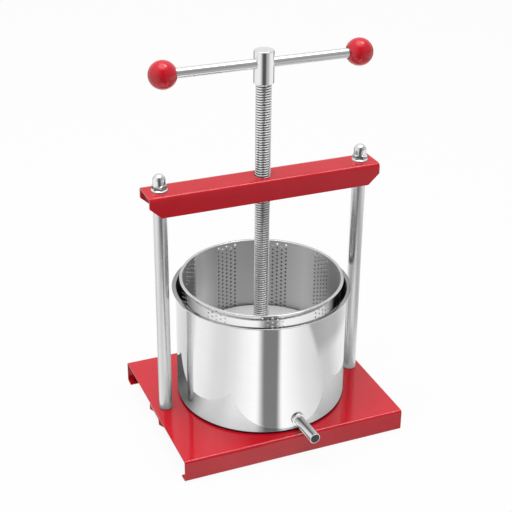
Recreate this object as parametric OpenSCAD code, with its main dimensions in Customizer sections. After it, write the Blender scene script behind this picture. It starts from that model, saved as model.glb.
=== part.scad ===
// Table-top fruit press: a folded steel base, two round columns and a folded cross beam
// carry a press screw with a sliding T-bar. The screw drives a round plate down into a
// perforated basket, and the basket stands in a pot with a drain spout.
// Frame: origin on the bench below the screw, +Z up, beam along X, spout towards -Y.

/* [Base] */
// Distance from a column's centre to the end of the base
base_end = 15; // [12:0.5:45]
// Depth of the base, front to back
base_w = 228; // [222:2:280]
// Height of the base's top above the bench
base_h = 28; // [26:1:40]
// Thickness of the base's sheet
base_sheet = 2; // [1.5:0.5:3]
// Outer radius of the base's folds
base_fold_r = 3.5; // [3.2:0.1:5]
// Width of the lips that the flanges return inwards, on which the base stands
base_lip = 12.5; // [8:0.5:20]
// Clearance between the channel under the base and the bench
channel_rise = 4; // [2:0.5:6]

/* [Beam] */
// Distance from a column's centre to the end of the beam
beam_end = 17.5; // [15:0.5:35]
// Width of the beam, and of the channel under the base
beam_w = 38; // [36:1:46]
// Height of the beam over its flanges
beam_h = 26; // [24:1:32]
// Sheet thickness of the beam and of the channel under the base
beam_sheet = 3; // [2.5:0.25:3.5]
// Outer radius of the beam's folds
beam_fold_r = 4.5; // [4:0.25:6]
// Length of the slanted cut at the flange ends
flange_cut_l = 14; // [8:1:14]
// Height of the slanted cut at the flange ends
flange_cut_h = 13; // [8:0.5:14]

/* [Columns] */
// Diameter of the columns
column_d = 16; // [14:0.5:17]
// Distance between the columns' centres
column_gap = 250; // [242:1:256]
// Height of the columns between base and beam
column_h = 286; // [270:1:320]
// Diameter of the columns' threaded ends
stud_d = 10; // [8:0.5:10]
// Chamfer at the ends of the columns' full diameter
column_chamfer = 0.8; // [0.5:0.1:1.2]

/* [Column fasteners] */
// Size across the flats of the nuts under the base
foot_nut_af = 16; // [15:0.5:18]
// Height of the nuts under the base
foot_nut_h = 8.4; // [7:0.2:9]
// Outer diameter of the washers under the base
foot_washer_d = 20; // [19:0.5:24]
// Thickness of the washers under the base
foot_washer_h = 2; // [1.4:0.2:2.4]
// Diameter of the cap nuts' flange
cap_flange_d = 19; // [18.5:0.5:21]
// Thickness of the cap nuts' flange
cap_flange_h = 1.6; // [1.2:0.2:2]
// Size across the flats of the cap nuts
cap_af = 15; // [14.5:0.25:16]
// Diameter of the cap nuts' dome
cap_dome_d = 14.5; // [14:0.25:15]
// Height of the cap nuts
cap_h = 20; // [18.5:0.5:23]
// Length of the threaded end inside a cap nut
cap_grip = 12; // [9:0.5:12]

/* [Press screw] */
// Outer diameter of the screw's thread
screw_d = 18; // [16:0.5:19]
// Pitch of the screw's thread, which also sets the chamfers where the thread runs out
screw_pitch = 3; // [2:0.5:4]
// Length of the screw between the plate's hub and the head
screw_l = 323; // [300:1:340]
// Diameter of the journal that turns in the plate's hub
journal_d = 12; // [10:0.5:13]
// Diameter of the spigot that the head is pressed on
spigot_d = 14; // [12:0.5:14.5]
// Length of the spigot that the head is pressed on
spigot_l = 12; // [8:0.5:16]
// Outer diameter of the threaded bush under the beam
bush_d = 30; // [28:0.5:30]
// Height of the threaded bush under the beam
bush_h = 22; // [18:0.5:22]

/* [T-handle] */
// Diameter of the screw's head
head_d = 23; // [22:0.5:26]
// Height of the screw's head
head_h = 38; // [34:1:44]
// Depth of the bar's axis below the top of the head
bar_drop = 15; // [12:0.5:16]
// Diameter of the bar
bar_d = 11.5; // [9:0.5:12]
// Distance between the knobs' centres
knob_span = 235; // [200:5:280]
// Diameter of the ball knobs
knob_d = 32; // [30:1:36]
// Diameter of the flat that the bar's shoulder meets on a knob
knob_flat_d = 15; // [13:0.5:16]
// Diameter of the bar's ends inside the knobs
tang_d = 8; // [6:0.5:8]
// Length of the bar's ends inside the knobs
tang_l = 16; // [12:1:18]

/* [Press plate] */
// Thickness of the press plate
plate_h = 6; // [5:0.5:8]
// Gap between the press plate and the basket's wall, all round
plate_gap = 1.2; // [0.8:0.1:2.5]
// Height of the plate above the basket's floor, as the press is shown
plate_lift = 57; // [40:1:80]
// Rounding of the plate's rim
plate_edge_r = 1.5; // [0.5:0.25:2]
// Diameter of the hub on the plate
hub_d = 34; // [30:1:44]
// Height of the hub on the plate
hub_h = 12; // [8:0.5:20]
// Diameter of the opening in the plate round the retaining washer
plate_hole_d = 23; // [22:0.5:25]
// Diameter of the retaining washer under the hub
keeper_d = 20; // [17:0.5:21]
// Thickness of the retaining washer
keeper_h = 1.6; // [1.2:0.1:2]
// Shank diameter of the retaining bolt
keeper_bolt_d = 6; // [5:0.5:6]
// Head diameter of the retaining bolt
keeper_head_d = 10.5; // [9:0.5:12]
// Head height of the retaining bolt
keeper_head_h = 2.2; // [1.6:0.1:2.4]
// Depth of the retaining bolt's hole in the screw
keeper_depth = 14; // [10:1:20]

/* [Pot] */
// Outer diameter of the pot's wall
pot_d = 207; // [196:1:212]
// Height of the pot
pot_h = 146; // [130:2:170]
// Wall thickness of the pot
pot_wall = 1; // [0.8:0.1:1.5]
// Outer radius of the pot's bottom corner
pot_corner_r = 5; // [3:0.5:6]
// Width of the pot's rim beyond its wall
pot_rim_w = 4.5; // [3.5:0.25:5.5]
// Diameter of the curl at the edge of the pot's rim
pot_curl_d = 1.6; // [1.5:0.1:3]

/* [Spout] */
// Height of the spout's axis above the pot's underside
spout_h = 15.5; // [15:0.5:24]
// Length of the spout from the pot's wall to its mouth
spout_l = 43; // [30:1:60]
// Outer diameter of the spout's tube
spout_d = 12.7; // [10:0.1:14]
// Wall thickness of the spout's tube
spout_wall = 1; // [0.8:0.1:1.5]
// Outer diameter of the collar round the spout
collar_d = 17; // [16:0.5:18]
// Reach of the collar beyond the pot's wall
collar_l = 3; // [2:0.5:6]
// Depth of the step in the tube that its shoulder makes at the collar's face
spout_step = 0.25; // [0.2:0.05:0.4]
// Angle that the spout is turned from straight ahead, as the press is shown
spout_turn = 3; // [0:1:10]

/* [Basket] */
// Gap for the juice between the basket's wall and the pot's wall
juice_gap = 8; // [6:0.5:11]
// Wall thickness of the basket
basket_wall = 0.8; // [0.6:0.1:1.2]
// Height of the basket's rim above the pot's rim
basket_stand = 12; // [4:1:30]
// Outer radius of the basket's bottom corner
basket_corner_r = 6; // [3:0.5:8]
// Width of the basket's rim beyond its wall
basket_rim_w = 4.25; // [3:0.25:4.5]
// Diameter of the curl at the edge of the basket's rim
basket_curl_d = 1.4; // [1.3:0.1:3.2]

/* [Perforation] */
// Number of hole groups round the basket
hole_groups = 9; // [6:1:10]
// Number of hole columns in a group
hole_columns = 5; // [1:1:7]
// Angle between neighbouring hole columns of a group
hole_step = 3.5; // [3:0.1:4]
// Height between the holes of a column
hole_pitch = 11; // [9:0.5:20]
// Diameter of the holes
hole_d = 2.6; // [1.5:0.1:3]
// Depth of the uppermost holes below the rim
hole_top = 4.8; // [4.8:0.1:10]
// Least height of the lowest holes above the basket's underside
hole_foot = 9; // [8:0.5:20]
// Angle of the first group
hole_start = 15; // [0:1:39]

/* [Clearances] */
// Radial clearance of turning and sliding fits
run_clear = 0.05; // [0.02:0.01:0.1]
// Radial clearance of the sheet's holes round the threaded ends
stud_clear = 0.25; // [0.1:0.05:0.5]
// Radial clearance between a thread and its nut
thread_clear = 0.05; // [0.02:0.01:0.1]
// Radial clearance of the beam's hole round the screw
beam_screw_clear = 0.6; // [0.3:0.1:1.5]
// Axial play of the screw in the plate's hub
end_play = 0.1; // [0.05:0.05:0.4]

/* [Hidden] */

$fn = 64;
// Extra length of a cutting body past the face that it cuts
cut = 1;
sides = [-1, 1];

red_paint = "#c8202f";
polished_steel = "#d2d4d6";
satin_steel = "#b4b6b8";
zinc = "#c4c8c6";
red_plastic = "#c41625";

// Lengths of the base and of the beam
base_l = column_gap + 2 * base_end;
beam_l = column_gap + 2 * beam_end;

// Levels of the frame, counted from the bench
channel_h = base_h - base_sheet - channel_rise;
channel_top_z = base_h - base_sheet;
beam_under_z = base_h + column_h;
beam_top_z = beam_under_z + beam_sheet;
foot_washer_z = channel_top_z - beam_sheet - foot_washer_h;
foot_nut_z = foot_washer_z - foot_nut_h;
stud_foot_z = foot_nut_z - 2;

// Pot and basket
pot_inner_r = pot_d / 2 - pot_wall;
collar_face = pot_d / 2 + collar_l;
spout_seat_d = spout_d - 2 * spout_step;
basket_r = pot_inner_r - juice_gap;
basket_z = base_h + pot_wall;
basket_h = pot_h - pot_wall + basket_stand;
basket_inner_r = basket_r - basket_wall;

// Plate and screw, as the press is shown
plate_z = basket_z + basket_wall + plate_lift;
plate_top_z = plate_z + plate_h;
hub_top_z = plate_top_z + hub_h;
head_z = hub_top_z + screw_l;
bar_z = head_z + head_h - bar_drop;
journal_z = plate_top_z - end_play;

// A flat on a ball lies this far from the ball's centre
knob_flat = sqrt(pow(knob_d / 2, 2) - pow(knob_flat_d / 2, 2));

// Perforation
hole_odd_rows = floor((basket_h - hole_top - hole_foot) / hole_pitch) + 1;
hole_even_rows = floor((basket_h - hole_top - hole_foot - hole_pitch / 2) / hole_pitch) + 1;

// Rectangle with round corners, centred
module round_rect(w, h, r) {
    square([w - 2 * r, h], center = true);
    square([w, h - 2 * r], center = true);
    for (x = sides, y = sides)
        translate([x * (w / 2 - r), y * (h / 2 - r)]) circle(r);
}

// Section of a sheet folded on all four corners, open below between two lips
module lipped_section(w, h, t, r, lip) {
    difference() {
        round_rect(w, h, r);
        round_rect(w - 2 * t, h - 2 * t, r - t);
        translate([lip - w / 2, -h / 2 - cut]) square([w - 2 * lip, cut + 2 * t]);
    }
}

// Section of a sheet folded on its two upper corners, its top at zero
module channel_section(w, h, t, r) {
    difference() {
        translate([0, -h]) round_rect(w, 2 * h, r);
        translate([0, -h]) round_rect(w - 2 * t, 2 * (h - t), r - t);
        translate([-w, -2 * h - cut]) square([2 * w, h + cut]);
    }
}

// Folded channel along X, open below, with the lower corners of its flanges cut off
module folded_channel(l, w, h, t, r) {
    difference() {
        translate([-l / 2, 0, 0]) rotate([90, 0, 90]) linear_extrude(l) channel_section(w, h, t, r);
        for (s = sides)
            translate([0, w, 0]) rotate([90, 0, 0]) linear_extrude(2 * w)
                polygon([[s * (l / 2 - flange_cut_l), -h], [s * (l / 2 + cut), -h - cut],
                    [s * (l / 2 + cut), flange_cut_h - h], [s * l / 2, flange_cut_h - h]]);
    }
}

// Round holes on the columns' axes
module stud_holes(z, depth) {
    for (s = sides)
        translate([s * column_gap / 2, 0, z]) cylinder(d = stud_d + 2 * stud_clear, h = depth);
}

module base_plate() {
    color(red_paint) difference() {
        translate([-base_l / 2, 0, base_h / 2]) rotate([90, 0, 90]) linear_extrude(base_l)
            lipped_section(base_w, base_h, base_sheet, base_fold_r, base_lip);
        stud_holes(base_h - base_sheet - cut, base_sheet + 2 * cut);
    }
}

module base_channel() {
    color(red_paint) difference() {
        translate([0, 0, channel_top_z])
            folded_channel(base_l, beam_w, channel_h, beam_sheet, beam_fold_r);
        stud_holes(channel_top_z - beam_sheet - cut, beam_sheet + 2 * cut);
    }
}

module top_beam() {
    color(red_paint) difference() {
        translate([0, 0, beam_top_z]) folded_channel(beam_l, beam_w, beam_h, beam_sheet, beam_fold_r);
        stud_holes(beam_under_z - cut, beam_sheet + 2 * cut);
        translate([0, 0, beam_under_z - cut])
            cylinder(d = screw_d + 2 * beam_screw_clear, h = beam_sheet + 2 * cut);
    }
}

// Round bar with a chamfered shoulder at each end of its full diameter and a threaded end
module column(s) {
    stud_top_z = beam_top_z + cap_grip;
    stud_chamfer = 1;
    color(polished_steel) translate([s * column_gap / 2, 0, 0]) rotate_extrude()
        polygon([[0, stud_foot_z], [stud_d / 2 - stud_chamfer, stud_foot_z],
            [stud_d / 2, stud_foot_z + stud_chamfer], [stud_d / 2, base_h],
            [column_d / 2 - column_chamfer, base_h], [column_d / 2, base_h + column_chamfer],
            [column_d / 2, beam_under_z - column_chamfer],
            [column_d / 2 - column_chamfer, beam_under_z], [stud_d / 2, beam_under_z],
            [stud_d / 2, stud_top_z - stud_chamfer], [stud_d / 2 - stud_chamfer, stud_top_z],
            [0, stud_top_z]]);
}

module foot_washers() {
    color(zinc) for (s = sides)
        translate([s * column_gap / 2, 0, foot_washer_z]) difference() {
            cylinder(d = foot_washer_d, h = foot_washer_h);
            translate([0, 0, -cut]) cylinder(d = stud_d + 2 * stud_clear, h = foot_washer_h + 2 * cut);
        }
}

// Hexagon with its corners rounded off by a cone above, and also below where both is true
module hex_body(af, h, both) {
    corner_r = af / sqrt(3);
    chamfer_h = (corner_r - af / 2) * tan(30);
    intersection() {
        cylinder(r = corner_r, h = h, $fn = 6);
        rotate_extrude() polygon([[0, 0], [both ? af / 2 : corner_r, 0],
            [corner_r + 0.01, both ? chamfer_h : 0.01], [corner_r + 0.01, h - chamfer_h],
            [af / 2, h], [0, h]]);
    }
}

module foot_nuts() {
    color(zinc) for (s = sides)
        translate([s * column_gap / 2, 0, foot_nut_z]) difference() {
            hex_body(foot_nut_af, foot_nut_h, true);
            translate([0, 0, -cut]) cylinder(d = stud_d + 2 * thread_clear, h = foot_nut_h + 2 * cut);
        }
}

// Domed nut: a flange, a flared hexagon above it and a cylinder closed by a half ball
module cap_nuts() {
    dome_z = cap_h - cap_dome_d / 2;
    hex_h = 7.5;
    skirt_h = 5.5;
    color(polished_steel) for (s = sides)
        translate([s * column_gap / 2, 0, beam_top_z]) difference() {
            union() {
                cylinder(d = cap_flange_d, h = cap_flange_h);
                translate([0, 0, cap_flange_h])
                    cylinder(d1 = cap_flange_d - 1, d2 = cap_dome_d - 0.5, h = skirt_h - cap_flange_h);
                hex_body(cap_af, hex_h, false);
                cylinder(d = cap_dome_d, h = dome_z);
                translate([0, 0, dome_z]) sphere(d = cap_dome_d);
            }
            translate([0, 0, -cut]) cylinder(d = stud_d + 2 * thread_clear, h = cut + cap_grip + 0.5);
        }
}

// Threaded bush welded under the beam's web
module screw_bush() {
    mouth = 1;
    bore_r = screw_d / 2 + run_clear;
    color(zinc) translate([0, 0, beam_under_z - bush_h]) rotate_extrude()
        polygon([[bore_r + mouth, 0], [bush_d / 2 - mouth, 0], [bush_d / 2, mouth],
            [bush_d / 2, bush_h], [bore_r, bush_h], [bore_r, mouth]]);
}

// Half section of a drawn shell on its underside: r and h outside, t thick, bottom corner c
module drawn_section(r, h, t, c, rim_w, curl_d) {
    difference() {
        union() {
            translate([0, c]) square([r, h - c]);
            square([r - c, c]);
            translate([r - c, c]) circle(c);
        }
        translate([0, c]) square([r - t, h]);
        translate([0, t]) square([r - c, c]);
        translate([r - c, c]) circle(c - t);
    }
    translate([r - t, h - t]) square([rim_w + t - curl_d / 2, t]);
    translate([r + rim_w - curl_d / 2, h - curl_d / 2]) circle(d = curl_d);
}

// Places its children on the spout's axis, which leaves the pot along +Z of their own frame
module on_spout() {
    translate([0, 0, base_h + spout_h]) rotate([90, 0, spout_turn]) children();
}

module pot_shell() {
    color(polished_steel) difference() {
        translate([0, 0, base_h]) rotate_extrude()
            drawn_section(pot_d / 2, pot_h, pot_wall, pot_corner_r, pot_rim_w, pot_curl_d);
        on_spout() translate([0, 0, pot_inner_r / 2]) cylinder(d = spout_seat_d, h = pot_d / 2);
    }
}

// Ring round the spout, its back shaped to the pot's wall
module spout_collar() {
    edge = 1;
    color(polished_steel) difference() {
        on_spout() rotate_extrude() polygon([[spout_seat_d / 2, pot_inner_r - cut],
            [collar_d / 2, pot_inner_r - cut], [collar_d / 2, collar_face - edge],
            [collar_d / 2 - edge, collar_face], [spout_seat_d / 2, collar_face]]);
        cylinder(d = pot_d, h = 2 * (base_h + spout_h), $fn = 360);
    }
}

// Spout's tube, its inner end flush with the inside of the pot's wall
module spout_tube() {
    bore_r = spout_d / 2 - spout_wall;
    mouth = pot_d / 2 + spout_l;
    color(polished_steel) difference() {
        on_spout() rotate_extrude() polygon([[bore_r, pot_inner_r / 2],
            [spout_seat_d / 2, pot_inner_r / 2], [spout_seat_d / 2, collar_face],
            [spout_d / 2, collar_face], [spout_d / 2, mouth], [bore_r, mouth]]);
        cylinder(r = pot_inner_r, h = 2 * (base_h + spout_h), $fn = 360);
    }
}

// One hole through the basket's wall at angle a, its centre d below the rim
module wall_hole(a, d) {
    translate([0, 0, basket_h - d]) rotate([0, 90, a]) translate([0, 0, basket_inner_r - cut])
        cylinder(d = hole_d, h = basket_wall + 2 * cut);
}

// Groups of hole columns, neighbours half a pitch apart in height
module perforation() {
    for (g = [0 : hole_groups - 1], c = [0 : hole_columns - 1]) {
        odd = c % 2 == 0;
        a = hole_start + g * 360 / hole_groups + (c - (hole_columns - 1) / 2) * hole_step;
        for (k = [0 : (odd ? hole_odd_rows : hole_even_rows) - 1])
            wall_hole(a, hole_top + (odd ? 0 : hole_pitch / 2) + k * hole_pitch);
    }
}

module basket_shell() {
    color(satin_steel) translate([0, 0, basket_z]) difference() {
        rotate_extrude() drawn_section(basket_r, basket_h, basket_wall, basket_corner_r,
            basket_rim_w, basket_curl_d);
        perforation();
    }
}

module press_plate() {
    plate_r = basket_inner_r - plate_gap;
    color(satin_steel) translate([0, 0, plate_z]) difference() {
        rotate_extrude() {
            translate([0, plate_edge_r]) square([plate_r, plate_h - 2 * plate_edge_r]);
            square([plate_r - plate_edge_r, plate_h]);
            for (y = [plate_edge_r, plate_h - plate_edge_r])
                translate([plate_r - plate_edge_r, y]) circle(plate_edge_r);
        }
        translate([0, 0, -cut]) cylinder(d = plate_hole_d, h = plate_h + 2 * cut);
    }
}

// Hub welded on the plate over its opening: the journal turns in it, the shoulder bears on it
module plate_hub() {
    bevel = 1.5;
    bore_r = journal_d / 2 + run_clear;
    color(satin_steel) translate([0, 0, plate_top_z]) rotate_extrude()
        polygon([[bore_r, 0], [hub_d / 2, 0], [hub_d / 2, hub_h - bevel],
            [hub_d / 2 - bevel, hub_h], [bore_r, hub_h]]);
}

// Screw with a journal below, a spigot above and chamfers where the thread runs out
module press_screw() {
    runout = screw_pitch / 2;
    color(polished_steel) difference() {
        rotate_extrude() polygon([[0, journal_z], [journal_d / 2, journal_z],
            [journal_d / 2, hub_top_z], [screw_d / 2 - runout, hub_top_z],
            [screw_d / 2, hub_top_z + runout], [screw_d / 2, head_z - runout],
            [screw_d / 2 - runout, head_z], [spigot_d / 2, head_z],
            [spigot_d / 2, head_z + spigot_l], [0, head_z + spigot_l]]);
        translate([0, 0, journal_z - cut])
            cylinder(d = keeper_bolt_d + 2 * thread_clear, h = keeper_depth + cut);
    }
}

// Plain round head on the screw's spigot, cross-drilled for the bar
module screw_head() {
    edge = 1;
    spigot_top = spigot_l + end_play;
    color(polished_steel) translate([0, 0, head_z]) difference() {
        rotate_extrude() polygon([[spigot_d / 2, 0], [head_d / 2 - edge, 0], [head_d / 2, edge],
            [head_d / 2, head_h - edge], [head_d / 2 - edge, head_h], [0, head_h],
            [0, spigot_top], [spigot_d / 2, spigot_top]]);
        translate([-head_d, 0, head_h - bar_drop]) rotate([0, 90, 0])
            cylinder(d = bar_d + 2 * run_clear, h = 2 * head_d);
    }
}

// Washer that keeps the journal in the hub
module keeper_washer() {
    color(zinc) translate([0, 0, journal_z - keeper_h]) difference() {
        cylinder(d = keeper_d, h = keeper_h);
        translate([0, 0, -cut]) cylinder(d = keeper_bolt_d + 2 * stud_clear, h = keeper_h + 2 * cut);
    }
}

// Low-headed bolt in the journal's end, with a hexagon socket
module keeper_bolt() {
    head_top_z = journal_z - keeper_h;
    shank_l = keeper_depth - 1 + keeper_h;
    socket_af = 3;
    color(zinc) difference() {
        union() {
            translate([0, 0, head_top_z - keeper_head_h])
                cylinder(d1 = keeper_head_d - 2, d2 = keeper_head_d, h = keeper_head_h);
            translate([0, 0, head_top_z - cut]) cylinder(d = keeper_bolt_d, h = shank_l + cut);
        }
        translate([0, 0, head_top_z - keeper_head_h - cut])
            cylinder(d = socket_af * 2 / sqrt(3), h = keeper_head_h + cut, $fn = 6);
    }
}

// Bar with a shoulder and a thinner end for each knob
module handle_bar() {
    shoulder = knob_span / 2 - knob_flat;
    tip = shoulder + tang_l;
    tip_chamfer = 0.8;
    color(polished_steel) translate([0, 0, bar_z]) rotate([0, 90, 0]) rotate_extrude()
        polygon([[0, -tip], [tang_d / 2 - tip_chamfer, -tip], [tang_d / 2, tip_chamfer - tip],
            [tang_d / 2, -shoulder], [bar_d / 2, -shoulder], [bar_d / 2, shoulder],
            [tang_d / 2, shoulder], [tang_d / 2, tip - tip_chamfer],
            [tang_d / 2 - tip_chamfer, tip], [0, tip]]);
}

// Ball with a flat and a blind hole that face the middle of the bar
module knob(s) {
    color(red_plastic) translate([s * knob_span / 2, 0, bar_z]) rotate([0, -90 * s, 0])
        difference() {
            sphere(d = knob_d, $fn = 96);
            translate([0, 0, knob_flat]) cylinder(d = knob_d, h = knob_d);
            translate([0, 0, knob_flat - tang_l - 0.5])
                cylinder(d = tang_d + 2 * thread_clear, h = tang_l + knob_d);
        }
}

base_plate();
base_channel();
column(-1);  // column_left
column(1);  // column_right
foot_washers();
foot_nuts();
top_beam();
cap_nuts();
screw_bush();
pot_shell();
spout_collar();
spout_tube();
basket_shell();
press_plate();
plate_hub();
press_screw();
screw_head();
keeper_washer();
keeper_bolt();
handle_bar();
knob(-1);  // knob_left
knob(1);  // knob_right
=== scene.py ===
"""Table-top fruit press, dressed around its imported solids. Sizes are in millimetres unless a
name says otherwise; each mesh is written in metres, in the frame of the CAD model."""
from math import asin, atan2, cos, pi, radians, sin, sqrt, tan

import bmesh
import bpy
import numpy as np
from mathutils import Matrix, Vector


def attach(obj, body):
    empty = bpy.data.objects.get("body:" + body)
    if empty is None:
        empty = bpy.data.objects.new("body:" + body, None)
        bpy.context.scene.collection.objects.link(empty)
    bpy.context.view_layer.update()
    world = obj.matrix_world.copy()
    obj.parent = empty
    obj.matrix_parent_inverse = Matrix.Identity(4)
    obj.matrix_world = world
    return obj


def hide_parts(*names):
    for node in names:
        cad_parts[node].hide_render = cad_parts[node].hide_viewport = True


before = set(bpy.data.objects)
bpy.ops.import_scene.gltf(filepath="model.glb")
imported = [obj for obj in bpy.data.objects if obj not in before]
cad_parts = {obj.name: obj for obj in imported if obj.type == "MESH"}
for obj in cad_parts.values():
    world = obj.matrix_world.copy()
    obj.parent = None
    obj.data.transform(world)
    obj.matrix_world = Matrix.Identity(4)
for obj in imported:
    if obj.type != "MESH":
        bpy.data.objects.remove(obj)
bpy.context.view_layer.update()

# ---- Camera ----
# It stands in front of the press, to its left and above it, at 1.48 m, with a long lens.
# The shift places the press in the square as the photograph's crop does.


def new_object(name, data):
    """An object that shows this data, linked to the scene."""
    thing = bpy.data.objects.new(name, data)
    bpy.context.scene.collection.objects.link(thing)
    return thing


view_from = Vector((-0.47751, -1.12622, 0.83918))
ahead = Vector((0.34192, 0.83393, -0.43319)).normalized()
level = Vector((ahead.y, -ahead.x, 0)).normalized()
upright = level.cross(ahead)
roll = radians(0.406)
to_right = level * cos(roll) + upright * sin(roll)
to_top = upright * cos(roll) - level * sin(roll)
lens = bpy.data.cameras.new("camera")
lens.lens, lens.sensor_width = 81.05, 36
lens.shift_x, lens.shift_y = 0.0124, -0.0589
lens.clip_start, lens.clip_end = 0.05, 60
camera = new_object("camera", lens)
camera.matrix_world = Matrix.Translation(view_from) @ Matrix(
    (to_right, to_top, -ahead)).transposed().to_4x4()
bpy.context.scene.camera = camera

# ---- Base tray ----
# A 2 mm steel sheet folded down at the front and the rear, with lips returned inwards, on
# which the press stands. It is open at its left and right ends and coated in gloss red.


class Wire:
    """A value on its way through a material. Sums, products and the like on wires add the
    Math nodes that work them out."""

    def __init__(self, tree, socket=None):
        self.tree, self.socket = tree, socket

    def add(self, kind, settings=(), sockets=(), output=0):
        """Adds a node of a kind, with its settings and its sockets' values or wires."""
        node = self.tree.nodes.new("ShaderNode" + kind)
        for name, value in dict(settings).items():
            if name == "stops":
                ramp = node.color_ramp
                while len(ramp.elements) < len(value):
                    ramp.elements.new(0.5)
                for element, (place, shade) in zip(ramp.elements, value):
                    element.position = place
                    element.color = (shade, shade, shade, 1)
            else:
                setattr(node, name, value)
        for name, value in dict(sockets).items():
            if isinstance(value, Wire):
                self.tree.links.new(value.socket, node.inputs[name])
            else:
                node.inputs[name].default_value = value
        return Wire(self.tree, node.outputs[output]) if len(node.outputs) else Wire(self.tree)

    def maths(self, operation, *values):
        return self.add("Math", {"operation": operation}, dict(enumerate(values)))

    def __add__(self, other):
        return self.maths("ADD", self, other)

    def __sub__(self, other):
        return self.maths("SUBTRACT", self, other)

    def __rsub__(self, other):
        return self.maths("SUBTRACT", other, self)

    def __mul__(self, other):
        return self.maths("MULTIPLY", self, other)

    def __truediv__(self, other):
        return self.maths("DIVIDE", self, other)

    __radd__, __rmul__ = __add__, __mul__

    def step(self, low, high, start=0.0, end=1.0):
        """Runs smoothly from start to end as the wire goes from low to high."""
        return self.add("MapRange", {"interpolation_type": "SMOOTHSTEP"},
                        {0: self, 1: low, 2: high, 3: start, 4: end})

    def blend(self, first, second):
        """The first colour where the wire is 0, the second where it is 1."""
        return self.add("Mix", {"data_type": "RGBA"}, {0: self, 6: first, 7: second}, 2)

    def choose(self, first, second):
        """The first shader where the wire is 0, the second where it is 1."""
        return self.add("MixShader", {}, {0: self, 1: first, 2: second})

    def split(self):
        parts = self.add("SeparateXYZ", sockets={0: self}).socket.node
        return [Wire(self.tree, parts.outputs[n]) for n in range(3)]

    def join(self, x, y, z):
        return self.add("CombineXYZ", sockets={0: x, 1: y, 2: z})

    def grey(self):
        return self.join(self, self, self)

    def by_direction(self, stops):
        """A value that follows this direction through stops of (degrees, value)."""
        return self.add("ValToRGB", {"stops": [(a / 360 + 0.5, v) for a, v in stops]},
                        {0: self})

    def ray(self, kind):
        """1 for rays of this kind, such as Glossy, and 0 for all others."""
        return self.add("LightPath", output="Is " + kind + " Ray")

    def noise(self, scale, detail=2.0, roughness=0.5):
        return self.add("TexNoise", {"noise_dimensions": "3D"},
                        {"Vector": self, "Scale": scale, "Detail": detail,
                         "Roughness": roughness})


def new_finish(name):
    """The Object coordinates of an empty material, and a function that sets sockets of its
    Principled shader by name and gives the material."""
    material = bpy.data.materials.new(name)
    material.use_nodes = True
    tree = material.node_tree
    shader = tree.nodes["Principled BSDF"]
    place = Wire(tree).add("TexCoord", output=3)

    def dress(values):
        for name, value in values.items():
            if isinstance(value, Wire):
                tree.links.new(value.socket, shader.inputs[name])
            else:
                shader.inputs[name].default_value = value
        return material

    return place, dress


def relief(height, strength, distance):
    """Bump of a height wire, for the Normal socket."""
    return height.add("Bump", {}, {"Strength": strength, "Distance": distance,
                                   "Height": height})


def azimuth_of(x, y):
    """Direction of (x, y) from the side that faces the viewer, as a share of a turn plus a
    half: it grows to the viewer's right."""
    turn = radians(113)
    ahead_x = x * cos(turn) - y * sin(turn)
    ahead_y = x * sin(turn) + y * cos(turn)
    return x.maths("ARCTAN2", ahead_y, ahead_x) / (2 * pi) + 0.5


def dark_wedge(x, y):
    """The dark strip that stands on the bench before the press and shows as one upright band
    in its polished steel: 1 inside it and 0 beside it."""
    left = azimuth_of(x, y).step(0.5 - 0.012, 0.5 + 0.014)
    return left * ((x + 0.0195) / y.maths("ABSOLUTE", y)).step(-0.03, 0.09, 1, 0)


def red_paint(name):
    """Gloss red stoved paint: a faint orange peel, slightly uneven gloss and a few specks of
    dust. Polished steel beside it sees a painted reflection of it: grey instead of red, with
    painted shade that darkens that grey by direction round the press, in the dark strip before
    it, towards the back and on the beam."""
    place, dress = new_finish(name)
    cloud = place.noise(28, 3, 0.5)
    peel = place.noise(620, 2, 0.5)
    dust = place.noise(1900, 1, 0.4).step(0.70, 0.78)
    paint = cloud.step(0.3, 0.7).blend((0.575, 0.0040, 0.0150, 1), (0.615, 0.0062, 0.0195, 1))
    paint = (dust * 0.25).blend(paint, (0.70, 0.12, 0.14, 1))
    x, y, z = place.split()
    azimuth = azimuth_of(x, y)
    # Painted reflection: polished steel sees this paint as grey, and painted shade darkens
    # that grey by direction, in the dark strip before the press, towards the back and above
    # 0.2 m, on the beam.
    tone = (azimuth.step(0.30, 0.37, 0.12, 0.60) + azimuth.step(0.40, 0.44, 0, 0.14)
            + azimuth.step(0.61, 0.64, 0, -0.16))
    tone = tone * (1 - dark_wedge(x, y) * y.step(-0.08, -0.075, 1, 0) * 0.8)
    tone = tone * y.step(0.02, 0.06, 1, 0.24) * z.step(0.20, 0.25, 1, 0.35)
    return dress({"Base Color": place.ray("Glossy").blend(paint, tone.grey()), "IOR": 1.52,
                  "Roughness": cloud * 0.06 + dust * 0.2 + 0.05,
                  "Normal": relief(peel, 0.10, 0.0002)})


def rounded_path(corners, radii, steps=6):
    """Path through corners whose bends are arcs. An arc touches both sides at the distance
    radius / tan(half the corner's angle) from the corner, and its points turn about its
    centre by equal angles. A radius of 0 keeps the corner."""
    corners = np.asarray(corners, float)
    path = []
    for number, (corner, radius) in enumerate(zip(corners, radii)):
        if radius == 0:
            path.append(corner[None])
            continue
        back = corners[number - 1] - corner
        on = corners[(number + 1) % len(corners)] - corner
        back /= np.hypot(*back)
        on /= np.hypot(*on)
        half = np.arccos(back @ on) / 2
        centre = corner + (back + on) / np.hypot(*(back + on)) * radius / sin(half)
        arm = corner + back * radius / tan(half) - centre
        side = np.sign(back[1] * on[0] - back[0] * on[1])
        angle = np.linspace(0, side * (pi - 2 * half), steps + 1)
        path.append(centre + np.stack([arm[0] * np.cos(angle) - arm[1] * np.sin(angle),
                                       arm[0] * np.sin(angle) + arm[1] * np.cos(angle)], -1))
    return np.concatenate(path)


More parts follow.
